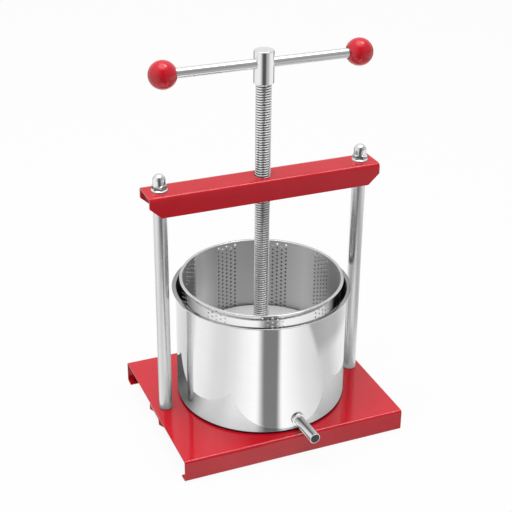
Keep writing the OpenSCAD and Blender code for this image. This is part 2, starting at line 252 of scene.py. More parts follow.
def quads(numbers):
    """Faces between neighbouring rows of corner numbers: corners j and j + 1 of one row with
    the same two of the next row. Each row runs round to its first corner."""
    near, far = numbers[..., :-1, :], numbers[..., 1:, :]
    return np.stack([near, np.roll(near, -1, -1), np.roll(far, -1, -1), far], -1)


def make_piece(name, points, faces, material, body, slot, *nodes, crease=32):
    """A mesh of points in mm and faces of four corners, closed where points meet, its faces
    turned outwards and its shading broken at edges sharper than crease degrees."""
    mesh = bpy.data.meshes.new(name)
    mesh.from_pydata(np.reshape(points, (-1, 3)) * 0.001, [], np.reshape(faces, (-1, 4)))
    work = bmesh.new()
    work.from_mesh(mesh)
    bmesh.ops.remove_doubles(work, verts=work.verts, dist=2e-6)
    bmesh.ops.recalc_face_normals(work, faces=work.faces)
    work.to_mesh(mesh)
    work.free()
    mesh.shade_smooth()
    mesh.set_sharp_from_angle(angle=radians(crease))
    mesh.materials.append(material)
    piece = new_object(name, mesh)
    shading = piece.modifiers.new("shading", "WEIGHTED_NORMAL")
    shading.keep_sharp = True
    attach(piece, body)
    if nodes:
        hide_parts(*nodes)
    return piece


def block_edge(cells):
    """Steps (row, column) round the edge of a square block of cells, from its first corner."""
    run, full, zero = np.arange(cells), np.full(cells, cells), np.zeros(cells, int)
    return (np.concatenate([zero, run, full, cells - run]),
            np.concatenate([run, full, cells - run, zero]))


def folded_sheet(outer, inner, half_length, edge, holes, hole_block, cells=8):
    """Points and faces of a sheet folded along X. Row u of the grid lies between the outer
    and the inner skin's point u of the section. Its loop is a flat oblong of that row's
    half length and the sheet's thickness, its ends rounded by `edge`, and the first and
    last rows shrink over the sheet's two long edges in the same way. Each hole replaces a
    square block of cells in both skins by a ring of faces and the hole's wall."""
    middle, arm = (outer + inner) / 2, (outer - inner) / 2
    half = np.hypot(*arm[0])
    turn = np.linspace(0, pi / 2, 4)
    rise, fall = edge * np.sin(turn[1:]), edge * (1 - np.cos(turn[1:]))
    ends = []
    for first, second in ((0, 1), (-1, -2)):
        out = middle[first] - middle[second]
        ends.append(out / np.hypot(*out))
    added = len(rise) + 1
    shrink = np.concatenate([[edge], fall[::-1], np.zeros(len(middle)), fall, [edge]])
    flat = np.pad(np.ones(len(middle) + 2 * len(rise)), 1)
    lead = np.concatenate([[edge], rise[::-1]])[:, None] * ends[0]
    tail = np.concatenate([rise, [edge]])[:, None] * ends[1]
    middle = np.concatenate([middle[0] + lead, middle, middle[-1] + tail])
    arm = np.concatenate([np.repeat(arm[:1], added, 0), arm, np.repeat(arm[-1:], added, 0)])
    half_length = np.pad(half_length, added, "edge")
    reach = half_length.max() - edge
    marks = np.concatenate([[-reach, reach], np.linspace(-reach, reach, 9)[1:-1]])
    for x, _, _ in holes:
        marks = np.concatenate([marks, x + np.linspace(-1, 1, cells + 1) * hole_block])
    marks = np.unique(np.round(marks, 6))
    quarter = np.stack([rise, 1 - fall / half], -1)
    round_end = np.concatenate([quarter, quarter[::-1] * (1, -1)])
    turned_end = np.full(len(round_end), reach)
    along = np.concatenate([marks, turned_end, marks[::-1], -turned_end])
    out = np.concatenate([0 * marks, round_end[:, 0], 0 * marks, -round_end[::-1, 0]])
    depth = np.concatenate([0 * marks + 1, round_end[:, 1], 0 * marks - 1,
                            round_end[::-1, 1]])
    fit = ((half_length - edge - shrink) / reach)[:, None]
    x = along * fit + out
    thick = np.sign(depth) * np.maximum(np.abs(depth) - shrink[:, None] / half, 0)
    thick = thick * flat[:, None]
    points = np.concatenate([x[..., None], middle[:, None] + thick[..., None] * arm[:, None]],
                            -1)
    numbers = np.arange(x.size).reshape(x.shape)
    faces = quads(numbers)
    keep = np.ones(faces.shape[:2], bool)
    points, extra, rings = points.reshape(-1, 3), [], []
    count = x.size
    last = 2 * len(marks) + len(round_end) - 1
    rows, columns = block_edge(cells)
    for cx, cy, radius in holes:
        row = np.abs(middle[:, 0] - (cy - hole_block)).argmin()
        if abs(middle[row + cells, 0] - cy - hole_block) > 0.01:
            row -= cells
        first = np.abs(marks - (cx - hole_block)).argmin()
        top = numbers[row + rows, first + columns]
        under = numbers[row + rows, last - first - columns]
        keep[row:row + cells, first:first + cells] = False
        keep[row:row + cells, last - first - cells:last - first] = False
        level_top, level_low = points[top[0], 2], points[under[0], 2]
        start = points[top[0]] - (cx, cy, 0)
        onward = points[top[1]] - (cx, cy, 0)
        side = np.sign(start[0] * onward[1] - start[1] * onward[0])
        angle = atan2(start[1], start[0]) + side * np.arange(4 * cells) * pi / (2 * cells)
        bevel = 0.3 * edge
        lip = np.array([(radius + edge, level_top), (radius + bevel, level_top - bevel),
                        (radius, level_top - edge), (radius, level_low + edge),
                        (radius + bevel, level_low + bevel), (radius + edge, level_low)])
        ring = np.stack([cx + lip[:, :1] * np.cos(angle), cy + lip[:, :1] * np.sin(angle),
                         lip[:, 1:] + 0 * angle], -1)
        extra.append(ring.reshape(-1, 3))
        inside = count + np.arange(ring[..., 0].size).reshape(len(lip), -1)
        rings.append(quads(np.concatenate([top[None], inside, under[None]])).reshape(-1, 4))
        count += inside.size
    return (np.concatenate([points] + extra),
            np.concatenate([faces[keep].reshape(-1, 4)] + rings))


def cross_rows(path, marks):
    """Adds a point to a section's path where a level run of it first crosses each of the
    given places along Y."""
    for mark in marks:
        side = path[:, 0] - mark
        flat = np.abs(np.diff(path[:, 1])) < 1e-9
        spots = np.flatnonzero((side[:-1] * side[1:] < 0) & flat)
        for spot in spots[:1]:
            path = np.insert(path, spot + 1, (mark, path[spot, 1]), 0)
    return path


gap, base_end = 250, 15
base_width, base_height, base_sheet, base_fold, base_lip = 228, 28, 2, 3.5, 12.5
stud_hole, block = 5.25, 8.5
column_holes = [(s * gap / 2, 0, stud_hole) for s in (-1, 1)]
half_width = base_width / 2
edge = 0.45
stops = np.concatenate([np.linspace(-1, 1, 9) * block, [-90, -60, -30, 30, 60, 90]])
tray_skins = []
for inset in (0, base_sheet):
    side, top, fold = half_width - inset, base_height - inset, base_fold - inset
    lip = half_width - base_lip + edge
    skin = rounded_path([(-lip, inset), (-side, inset), (-side, top), (side, top),
                         (side, inset), (lip, inset)], [0, fold, fold, fold, fold, 0])
    tray_skins.append(cross_rows(skin, stops))
paint_red = red_paint("gloss_red_paint")
half_length = np.full(len(tray_skins[0]), gap / 2 + base_end)
points, faces = folded_sheet(*tray_skins, half_length, edge, column_holes, block)
make_piece("base_tray", points, faces, paint_red, "frame", "red_paint", "base_plate")

# ---- Stiffener under the base ----
# A 3 mm steel channel, open below, welded under the tray along its whole length. The lower
# corners of its flanges are cut off at a slant, and it is painted with the tray.


def make_channel(name, node, end, top, height, holes, block):
    """A painted channel, open below, whose web reaches `end` beyond the columns' axes. Each
    skin of its section is a rounded path. A row of points that lies in the slanted cut is
    shorter by the cut's length times its share of the way down the cut."""
    bottom, cut_top = top - height + channel_edge, top - height + cut_height
    skins = []
    for inset in (0, channel_sheet):
        side, fold = channel_width / 2 - inset, channel_fold - inset
        skin = rounded_path([(-side, bottom), (-side, top - inset), (side, top - inset),
                             (side, bottom)], [0, fold, fold, 0])
        skin = cross_rows(skin, np.linspace(-1, 1, 9) * block)
        for mark in (cut_top, (cut_top + bottom) / 2):
            skin = np.insert(skin, 1, (-side, mark), 0)
            skin = np.insert(skin, -1, (side, mark), 0)
        skins.append(skin)
    way_down = np.clip((cut_top - skins[0][:, 1]) / cut_height, 0, 1)
    points, faces = folded_sheet(*skins, gap / 2 + end - cut_length * way_down, channel_edge,
                                 holes, block)
    make_piece(name, points, faces, paint_red, "frame", "red_paint", node)


cut_length, cut_height, channel_rise = 14, 13, 4
channel_width, channel_sheet, channel_fold, channel_edge = 38, 3, 4.5, 0.5
channel_top = base_height - base_sheet
make_channel("base_stiffener", "base_channel", base_end, channel_top,
             channel_top - channel_rise, column_holes, block)

# ---- Washers and nuts under the columns ----
# Zinc-plated washers and hexagon nuts hold the columns' threaded ends under the stiffener.
# They keep the shapes of the CAD model, and so do the bush in the beam and the washer and
# bolt that keep the screw in its hub, which are plated alike.


def zinc_plate(name):
    """Zinc plating: cool grey with a faint mottle in its colour and its gloss."""
    place, dress = new_finish(name)
    mottle = place.noise(240, 3, 0.6)
    colour = mottle.step(0.3, 0.7).blend((0.50, 0.52, 0.51, 1), (0.64, 0.66, 0.64, 1))
    return dress({"Base Color": colour, "Metallic": 1.0, "Roughness": mottle * 0.25 + 0.22,
                  "Normal": relief(place.noise(1500, 2), 0.12, 0.0001)})


zinc = zinc_plate("zinc_plate")
for node in ("foot_washers", "foot_nuts", "screw_bush", "keeper_washer", "keeper_bolt"):
    for kept_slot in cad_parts[node].material_slots:
        kept_slot.material = zinc

# ---- Columns ----
# Two polished round bars with a chamfered shoulder at each end. Their thinner threaded ends
# pass through base and beam and are held by the nuts.


def polished_steel(name, tone=0.88, gloss=0.06, spread=0.03, ring=1.0, along=0.0,
                   wear=0.015, inside=None, gap_light=None, rim=None):
    """Polished steel with the faint rings that buffing on a spindle leaves: noise that is
    drawn out round the axis and fine along the height and the radius. `along` turns part of
    the polish to run with the height. `inside` gives the radius, the roughness and the share
    of metal of a duller inner face, and its tone by direction, which is painted light and
    shade wherever it is dark or changes with direction. `gap_light` gives, by direction, how
    bright that face is to the polished steel across a narrow gap: light goes to and fro there
    more often than a render follows. `rim` gives the height above which the metal's colour is
    painted darker as painted shade, and that darker tone."""
    place, dress = new_finish(name)
    x, y, z = place.split()
    radius = place.maths("SQRT", x * x + y * y)
    lines = place.join(x * 9, y * 9, (z + radius) * 900 * ring).noise(1.0, 3, 0.6)
    cloud = place.noise(35, 2, 0.5)
    shade = lines * 0.5 + cloud * 0.5
    colour = shade.step(0.25, 0.75).blend((tone - wear, tone - wear, tone - wear * 0.8, 1),
                                          (tone + wear, tone + wear, tone + wear, 1))
    roughness = shade.step(0.2, 0.8, gloss - spread / 2, gloss + spread / 2)
    metal = 1.0
    if rim:
        # Painted shade: above the rim's height the colour turns darker, while the finish stays
        # the same.
        colour = z.step(rim[0] - 0.0003, rim[0]).blend(colour, (rim[1], rim[1], rim[1], 1))
    if inside:
        # Painted light and shade: the inner face takes its tone by direction round the axis.
        limit, dull, share, tones = inside
        within = radius.step(limit - 0.0002, limit + 0.0002, 1, 0)
        tone = azimuth_of(x, y).by_direction(tones) * (lines * 0.1 + 0.95)
        colour = within.blend(colour, tone.grey())
        roughness = roughness * (1 - within) + within * (lines * 0.06 + dull)
        metal = 1 - within * (1 - share)
    if gap_light:
        lit = (azimuth_of(x, y).by_direction(gap_light) * within
               * (1 - dark_wedge(x, y) * y.step(-0.05, -0.04, 1, 0) * 0.8)
               * z.step(0.156, 0.162) * place.ray("Glossy"))
        dress({"Emission Color": lit.grey(), "Emission Strength": 1.0})
    if along:
        dress({"Anisotropic": along, "Anisotropic Rotation": 0.25})
    return dress({"Base Color": colour, "Metallic": metal, "Roughness": roughness,
                  "Normal": relief(lines, 0.02, 0.0001)})


def rounds(radius, height, angle):
    """Rows of points round the upright axis: (radius * cos(angle), radius * sin(angle),
    height). Gives the grid of points and the grid of their numbers."""
    x, y = radius * np.cos(angle), radius * np.sin(angle)
    return np.stack([x, y, height + 0 * x], -1), np.arange(x.size).reshape(x.shape)


def turned(path, around=96):
    """Surface of revolution of a path of (radius, height) about the upright axis, in so many
    equal steps or by the angles given."""
    angle = around if np.ndim(around) else np.linspace(0, 2 * pi, around, endpoint=False)
    radius, height = np.asarray(path, float).T[..., None]
    return rounds(radius, height, angle)


def thread_rows(radius, low, high, pitch, depth):
    """Profile of a run of closely set ring grooves that stand for a small thread: the radius
    falls and rises by its depth once in each pitch."""
    height = np.arange(low, high, pitch / 4)
    groove = np.abs(((height - low) / pitch) % 1 * 2 - 1)
    return np.stack([radius - depth * groove, height], -1)


column_r, stud_r, stud_tip_r, shoulder_r, chamfer = 8, 5, 4, 7.1, 0.9
stud_foot, stud_pitch, stud_depth = 10.6, 1.5, 0.8
beam_under, beam_top, cap_grip = 314, 317, 12
post = polished_steel("ground_bar", 0.78, 0.26, 0.05, 1.4, 0.35)
for side, word in ((-1, "left"), (1, "right")):
    path = np.concatenate([
        [(0, stud_foot), (stud_tip_r, stud_foot)],
        thread_rows(stud_r, stud_foot + 1, channel_top - 2, stud_pitch, stud_depth),
        [(stud_r, channel_top - 2), (stud_r, base_height), (shoulder_r, base_height),
         (column_r, base_height + chamfer), (column_r, 40), (column_r, 100), (column_r, 200),
         (column_r, 300), (column_r, beam_under - chamfer), (shoulder_r, beam_under),
         (stud_r, beam_under), (stud_r, beam_top)],
        thread_rows(stud_r, beam_top + 0.5, beam_top + cap_grip - 1, stud_pitch, stud_depth),
        [(stud_tip_r, beam_top + cap_grip), (0, beam_top + cap_grip)]])
    points, numbers = turned(path, 64)
    make_piece("column_bar_" + word, points + (side * gap / 2, 0, 0), quads(numbers), post,
               "frame", "polished_steel", "column_" + word)

# ---- Cross beam ----
# A 3 mm steel channel, open below, its flange ends cut off at a slant. It sits on the
# columns' shoulders, carries the threaded bush, and is painted gloss red.
beam_end, beam_height, bush_hole = 17.5, 26, 9.6
make_channel("beam_channel", "top_beam", beam_end, beam_top, beam_height,
             [column_holes[0], (0, 0, bush_hole), column_holes[1]], 12)

# ---- Cap nuts ----
# Chromed domed nuts with a flange and a hexagon, one on each column. They are screwed down
# on the columns' upper ends and clamp the beam.
flange_r, flange_h, nut_af, hex_h, dome_r, nut_h, nut_bore = 9.5, 1.6, 15, 7.5, 7.25, 20, 5.05
around = 96
rows = np.concatenate([[0], np.linspace(0.25, flange_h - 0.2, 5),
                       np.linspace(flange_h, nut_h - dome_r, 44)])
angle = np.linspace(0, 2 * pi, around, endpoint=False)
hexagon = nut_af / 2 / np.cos((angle + pi / 6) % (pi / 3) - pi / 6)
bevel = nut_af / 2 + np.maximum(hex_h - rows, -1) / tan(pi / 6)
skirt = np.interp(rows, [flange_h, 2.4, 2.5], [flange_r - 0.7, 7.3, 0])


def soft_less(first, second, width):
    """The lesser of two arrays, with a smooth change of the given width where they cross."""
    return (first + second) / 2 - np.sqrt((first - second) ** 2 + width ** 2) / 2


nut = soft_less(hexagon[None], bevel[:, None], 0.15)
nut = -soft_less(-nut, -np.maximum(skirt, dome_r)[:, None], 0.12)
edge_drop = np.interp(rows, [0, 0.25, flange_h - 0.25, flange_h], [0.25, 0, 0, 0.3])
nut[rows <= flange_h] = (flange_r - edge_drop)[rows <= flange_h, None]
dome = np.linspace(0, pi / 2, 17)[1:]
dome_rows = np.stack([dome_r * np.cos(dome), nut_h - dome_r + dome_r * np.sin(dome)], -1)
radius = np.concatenate([np.zeros((1, around)), np.full((2, around), nut_bore), nut,
                         np.repeat(dome_rows[:, :1], around, 1)])
height = np.concatenate([[cap_grip + 0.5] * 2, [0], rows, dome_rows[:, 1]])
points, numbers = rounds(radius, height[:, None], angle)
chrome = polished_steel("chrome_plate", 0.88, 0.07, 0.03, 0.6)
nut_pair = np.concatenate([points + (s * gap / 2, 0, beam_top) for s in (-1, 1)])
make_piece("cap_nut_pair", nut_pair,
           np.concatenate([quads(numbers), quads(numbers + radius.size)]), chrome, "frame",
           "polished_steel", "cap_nuts", crease=40)

# ---- Pot ----
# Deep-drawn from 1 mm steel sheet, polished to a mirror, its rim turned out and curled. A
# round hole low in its wall holds the spout.
pot_r, pot_wall, pot_h, pot_corner, rim_w, curl_r = 103.5, 1.0, 146, 5, 4.5, 0.8
base_z = base_height
pot_inner = pot_r - pot_wall
bore_z, seat_r, window = 43.5, 6.1, 9


def drawn_shell(radius, wall, bottom, top, corner, rim_w, curl_r, bend, stations):
    """Closed profile of a drawn sheet shell: from the centre of its underside, up its wall
    through the given stations, round the curl at its rim, over the rim's bend and down its
    inner wall to the centre of its floor. Also the rows where the two walls' stations
    begin, counted from below."""
    rim_under = top - wall
    centre = np.array([radius + rim_w - curl_r, top - curl_r])
    start = pi - asin((rim_under - centre[1]) / curl_r)
    turn = np.linspace(start, 2.5 * pi, 26)
    curl = centre + curl_r * np.stack([np.cos(turn), np.sin(turn)], -1)
    foot = rounded_path([(0, bottom), (radius, bottom), (radius, top)], [0, corner, 0], 10)
    neck = rounded_path([(radius, bottom), (radius, rim_under), curl[0]], [0, 0.8, 0], 5)
    brim = rounded_path([curl[-1], (radius - wall, top), (radius - wall, bottom)],
                        [0, bend, 0], 8)
    floor = rounded_path([(radius - wall, top), (radius - wall, bottom + wall),
                          (0, bottom + wall)], [0, corner - wall, 0], 10)
    upright = np.stack([0 * stations + radius, stations], -1)
    disc = np.linspace(0, foot[1, 0], 12)[1:-1]
    disc = np.stack([disc, 0 * disc + bottom], -1)
    outside = np.concatenate([foot[:1], disc, foot[1:-1]])
    inside = np.concatenate([floor[1:-1], (disc + (0, wall))[::-1], floor[-1:]])
    path = np.concatenate([outside, upright, neck[1:-1], curl, brim[1:-1],
                           (upright - (wall, 0))[::-1], inside])
    return path, len(outside), len(path) - len(inside) - 1


def drilled_wall(points, numbers, outer_row, inner_row, radii, cells, station, column,
                 heights, angles, bore):
    """Round holes through a turned wall. Each replaces a square block of cells, whose lowest
    corner is at (station, column), by a ring of faces on the outer and on the inner skin
    and by its own wall. A hole's edge is a circle about its axis, laid on each skin: the
    angle from the axis is the arc sine of sideways reach over the skin's radius."""
    rows, columns = block_edge(cells)
    around = numbers.shape[1]
    station, column = np.reshape(station, (-1, 1)), np.reshape(column, (-1, 1))
    beside = (column + columns) % around
    outer = numbers[outer_row + station + rows, beside]
    inner = numbers[inner_row - station - rows, beside]
    faces = quads(numbers)
    keep = np.ones(faces.shape[:2], bool)
    cell = np.arange(cells)
    block_rows = (station + cell)[:, :, None]
    block_columns = ((column + cell) % around)[:, None, :]
    keep[outer_row + block_rows, block_columns] = False
    keep[inner_row - 1 - block_rows, block_columns] = False
    turn = -0.75 * pi + np.arange(4 * cells) * pi / (2 * cells)
    sideways, upwards = bore * np.cos(turn), bore * np.sin(turn)
    rings = []
    for radius in radii:
        at = np.reshape(angles, (-1, 1)) + np.arcsin(sideways / radius)
        up = np.reshape(heights, (-1, 1)) + upwards
        rings.append(np.stack([radius * np.cos(at), radius * np.sin(at), up], -1))
    rings = np.stack(rings, 1)
    ring_numbers = numbers.size + np.arange(rings[..., 0].size).reshape(rings.shape[:3])
    walls = quads(np.concatenate([outer[:, None], ring_numbers, inner[:, None]], 1))
    return (np.concatenate([points.reshape(-1, 3), rings.reshape(-1, 3)]),
            np.concatenate([faces[keep].reshape(-1, 4), walls.reshape(-1, 4)]))


spout_turn = radians(3)
spout_at = spout_turn - pi / 2
stations = np.concatenate([np.linspace(bore_z - window, bore_z + window, 9),
                           np.linspace(62, 171, 15)])
path, outer_row, inner_row = drawn_shell(pot_r, pot_wall, base_z, base_z + pot_h, pot_corner,
                                         rim_w, curl_r, 1.0, stations)
points, numbers = turned(path, 288)
points = points @ np.array([[cos(spout_at), sin(spout_at), 0],
                            [-sin(spout_at), cos(spout_at), 0], [0, 0, 1]])
points, faces = drilled_wall(points, numbers, outer_row, inner_row, (pot_r, pot_inner), 8,
                             [0], [-4], [bore_z], [spout_at], seat_r)
# The gap's glow is painted light that the pot's inner face gives to the polished steel across
# the gap.
gap_glow = [(-180, 0), (-78, 0), (-56, .48), (-40, .80), (-10, .98), (20, .98), (50, .78),
            (62, .34), (70, 0), (180, 0)]
# Painted shade: the top of the pot's curled rim is painted a darker grey, and its inner face a
# dark grey that stands for the shade in the narrow gap round the basket.
pot_steel = polished_steel("mirror_steel", rim=(0.1739, 0.48), gap_light=gap_glow,
                           inside=(0.1030, 0.35, 0.8, [(-180, 0.12), (180, 0.12)]))
make_piece("pot_bowl", points, faces, pot_steel, "pot", "polished_steel", "pot_shell")

# ---- Spout ----
# A short polished tube pushed into the pot's wall to its shoulder, and a collar round it
# whose back follows the wall.
outward = np.array([sin(spout_turn), -cos(spout_turn), 0])
sideward = np.array([cos(spout_turn), sin(spout_turn), 0])


def on_spout(corners, radii, steps, wall_r, around=72):
    """Turns a closed rounded path of (radius, distance) about the spout's axis. Its first
    and last points lie on the pot's round wall: their distance is the root of the wall's
    radius squared less the point's sideways reach squared."""
    path = rounded_path(corners, radii, steps)
    path = np.concatenate([path, path[:1]])
    on_wall = np.zeros((len(path), 1), bool)
    on_wall[[0, -2, -1]] = True
    angle = np.linspace(0, 2 * pi, around, endpoint=False)
    across, up = np.outer(path[:, 0], np.cos(angle)), np.outer(path[:, 0], np.sin(angle))
    distance = np.where(on_wall, np.sqrt(wall_r ** 2 - across ** 2),
                        path[:, 1:] + 0 * across)
    points = (outward * distance[..., None] + sideward * across[..., None]
              + np.array([0, 0, 1.0]) * up[..., None] + (0, 0, bore_z))
    return points, quads(np.arange(across.size).reshape(across.shape))


collar_face, mouth, tube_r, bore_r, collar_r = 106.5, 146.5, 6.35, 5.35, 8.5
points, faces = on_spout([(seat_r, pot_r), (seat_r, collar_face), (collar_r, collar_face),
                          (collar_r, pot_r)], [0, 0.2, 1.0, 0], 6, pot_r)
make_piece("spout_ring", points, faces, polished_steel("polished_ring"), "pot",
           "polished_steel", "spout_collar")


def tube_steel(name):
    """Polished tube whose drawn bore is rougher and painted dark grey as painted shade inside
    the tube.
    """
    place, dress = new_finish(name)
    x, y, z = place.split()
    aside = x * sideward[0] + y * sideward[1]
    up = z - bore_z * 0.001
    from_axis = place.maths("SQRT", aside * aside + up * up)
    along = x * outward[0] + y * outward[1]
    lines = place.join(aside * 60, along * 900, up * 60).noise(1.0, 3, 0.6)
    outside = from_axis.step((bore_r + 0.1) * 0.001, (bore_r + 0.45) * 0.001)
    # Painted shade: the bore is coloured dark grey.
    colour = outside.blend((0.10, 0.10, 0.10, 1), (0.88, 0.88, 0.885, 1))
    return dress({"Base Color": colour, "Metallic": 1.0,
                  "Roughness": lines * 0.04 + outside * -0.35 + 0.42,
                  "Normal": relief(lines, 0.02, 0.0001)})


points, faces = on_spout([(seat_r, pot_inner), (seat_r, collar_face), (tube_r, collar_face),
                          (tube_r, mouth), (bore_r, mouth), (bore_r, pot_inner)],
                         [0, 0, 0.15, 0.45, 0.45, 0], 5, pot_inner)
pipe = make_piece("spout_pipe", points, faces, tube_steel("polished_tube"), "pot",
                  "polished_steel", "spout_tube")
pipe.visible_glossy = False

# ---- Basket ----
# Drawn from 0.8 mm steel sheet with a satin face, its rim curled. Nine groups of five
# columns of punched holes let the juice out through its wall.
basket_r, basket_wall, basket_z, rim_z, basket_corner = 95.8, 0.8, 29, 186, 6
basket_rim_w, basket_curl_r, basket_bend = 2.95, 0.7, 0.9
groups, hole_step, hole_pitch, hole_r, hole_start = 9, 3.5, 5.5, 1.3, 15
cell_up = hole_pitch / 4
top_hole, long_rows, short_rows = 181.2, 27, 26
stations = top_hole + 2 * cell_up - cell_up * np.arange(4 * long_rows, -1, -1)
path, outer_row, inner_row = drawn_shell(basket_r, basket_wall, basket_z, rim_z,
                                         basket_corner, basket_rim_w, basket_curl_r,
                                         basket_bend, stations)
share, punched = 360 / groups, 5 * hole_step
group = np.concatenate([np.arange(0, punched, hole_step / 4),
                        np.linspace(punched, share, 7)[:-1]])
angle = np.radians((np.arange(groups)[:, None] * share + hole_start - punched / 2
                    + group).ravel())
points, numbers = turned(path, angle)
which, line, row = np.meshgrid(np.arange(groups), np.arange(5), np.arange(long_rows),
                               indexing="ij")
there = (line % 2 == 0) | (row < short_rows)
which, line, row = which[there], line[there], row[there]
odd = line % 2
points, faces = drilled_wall(
    points, numbers, outer_row, inner_row, (basket_r, basket_r - basket_wall), 4,
    4 * (long_rows - 1 - row) - 2 * odd, len(group) * which + 4 * line,
    top_hole - hole_pitch * (row + odd / 2),
    np.radians(hole_start + share * which + (line - 2) * hole_step), hole_r)
# Painted light and shade: the basket's inner face is lighter or darker by direction round its
# axis, brightest in two patches towards the back.
satin = polished_steel("satin_steel", 0.86, 0.12, 0.04, 0.8, 0.88, 0.02,
                       inside=(0.0954, 0.42, 0.95, [
    (-180, .62), (-142, .62), (-129, .95), (-121, .95), (-117, .44), (-60, .44), (60, .52),
    (104, .52), (116, .56), (126, .70), (145, .80), (162, .64), (180, .62)]))
make_piece("basket_sieve", points, faces, satin, "basket", "satin_steel", "basket_shell")

# ---- Press plate and hub ----
# A 6 mm steel disc with rounded edges, faced on a lathe, and the hub welded on it, in which
# the screw's journal turns.
plate_z, plate_h, plate_r, plate_bore = 86.8, 6, 92.5, 11.5
hub_r, hub_h, hub_bore, weld = 17, 12, 6.05, 2.2
hub_top = plate_z + plate_h + hub_h
path = rounded_path([(plate_bore, plate_z), (plate_r, plate_z), (plate_r, plate_z + plate_h),
                     (plate_bore, plate_z + plate_h)], [0, 1.5, 1.5, 0], 6)
rings = np.linspace(86, 20, 12)
path = np.concatenate([path[:-1], np.stack([rings, 0 * rings + plate_z + plate_h], -1),
                       path[-1:], path[:1]])
plate_finish = polished_steel("faced_steel", 0.90, 0.42, 0.06, 0.9, 0.0, 0.02,
                              inside=(0.2, 0.42, 0.40, [(-180, 0.95), (180, 0.95)]))
points, numbers = turned(path, 192)
make_piece("plate_disc", points, quads(numbers), plate_finish, "plate", "satin_steel",
           "press_plate")
path = rounded_path([(hub_bore, plate_z + plate_h), (hub_r + weld, plate_z + plate_h),
                     (hub_r, plate_z + plate_h + weld), (hub_r, hub_top),
                     (hub_bore, hub_top)], [0, 0.5, 0.9, 1.4, 0], 5)
points, numbers = turned(np.concatenate([path, path[:1]]), 96)
make_piece("hub_boss", points, quads(numbers), plate_finish, "plate", "satin_steel",
           "plate_hub")

# ---- Press screw ----
# A polished steel screw with a fine single-start thread. Below is a journal, drilled for the
# bolt that keeps it in the hub, and above a spigot, on which the head is pressed.
screw_r, pitch, depth, screw_l, spigot_r, spigot_l = 9, 3, 0.9, 323, 7, 12
journal_r, journal_z, tapped_r, tapped_top = 6, 92.7, 3.05, 106.7
head_z = hub_top + screw_l
around, per_turn = 40, 12
height = np.concatenate([[hub_top], np.arange(hub_top + 0.1, head_z - 0.1, pitch / per_turn),
                         [head_z]])
angle = np.linspace(0, 2 * pi, around, endpoint=False)
phase = (height[:, None] / pitch - angle / (2 * pi)) % 1
flank = np.clip(np.abs(phase - 0.5) * 5.0 - 1.05, 0, 1)
flank = flank * flank * (3 - 2 * flank)
runout = screw_r - pitch / 2 + np.minimum(height - hub_top, head_z - height)
radius = np.minimum(screw_r - depth * flank, runout[:, None])
thread, _ = rounds(radius, height[:, None], angle)
below, _ = turned([(0, tapped_top), (tapped_r, tapped_top), (tapped_r, journal_z),
                   (journal_r - 0.4, journal_z), (journal_r, journal_z + 0.4),
                   (journal_r, hub_top)], around)
above, _ = turned([(spigot_r, head_z), (spigot_r, head_z + spigot_l),
                   (0, head_z + spigot_l)], around)
points = np.concatenate([below, thread, above])
numbers = np.arange(points[..., 0].size).reshape(points.shape[:2])


def cut_thread(name, crest, root):
    """Polished crests and rougher roots painted nearly black as painted shade: the finish
    follows the distance from the axis.
    """
    place, dress = new_finish(name)
    x, y, z = place.split()
    radius = place.maths("SQRT", x * x + y * y)
    on_crest = radius.step(root * 0.001, crest * 0.001)
    streak = place.join(x * 60, y * 60, z * 500).noise(1.0, 3, 0.6)
    crest_or_painted_shade = on_crest * 0.8 + streak * 0.2
    # Painted shade: the thread's roots are coloured nearly black.
    colour = crest_or_painted_shade.step(0.1, 0.9).blend((0.035, 0.035, 0.037, 1), (0.93, 0.93, 0.935, 1))
    return dress({"Base Color": colour, "Metallic": 1.0,
                  "Roughness": crest_or_painted_shade.step(0, 1, 0.45, 0.10),
                  "Normal": relief(streak, 0.05, 0.0001)})


spindle = cut_thread("cut_thread", screw_r - 0.4 * depth, screw_r - 0.9 * depth)
make_piece("press_spindle", points, quads(numbers), spindle, "screw", "polished_steel",
           "press_screw", crease=60)

# ---- Head of the screw ----
# A plain turned steel head, pressed on the screw's spigot. It is drilled crosswise for the
# bar, with a small bevel at each mouth of the hole.
head_r, head_h, bar_drop, bar_r = 11.5, 38, 15, 5.75
head_top = head_z + head_h
bar_z = head_top - bar_drop
cross_r, cross_bevel, reach, cells, around = bar_r + 0.05, 0.4, 7.4, 16, 72
stations = np.linspace(bar_z - reach, bar_z + reach, cells + 1)
socket_top = head_z + spigot_l + 0.1
lower = np.concatenate([
    [(0, socket_top), (spigot_r, socket_top), (spigot_r, head_z)],
    rounded_path([(spigot_r, head_z), (head_r, head_z), (head_r, bar_z)], [0, 0.9, 0])[1:-1],
    [(head_r, head_z + 8), (head_r, head_z + 13)]])
upper = rounded_path([(head_r, bar_z), (head_r, head_top), (0, head_top)], [0, 1.0, 0])[1:-1]
first_row = len(lower)
points, numbers = turned(np.concatenate([
    lower, np.stack([0 * stations + head_r, stations], -1), upper,
    [(8, head_top), (5, head_top), (2, head_top), (0, head_top)]]), around)
faces = quads(numbers)
keep = np.ones(faces.shape[:2], bool)
rows, columns = block_edge(cells)
turn = -0.75 * pi + np.arange(4 * cells) * pi / (2 * cells)
sides = []
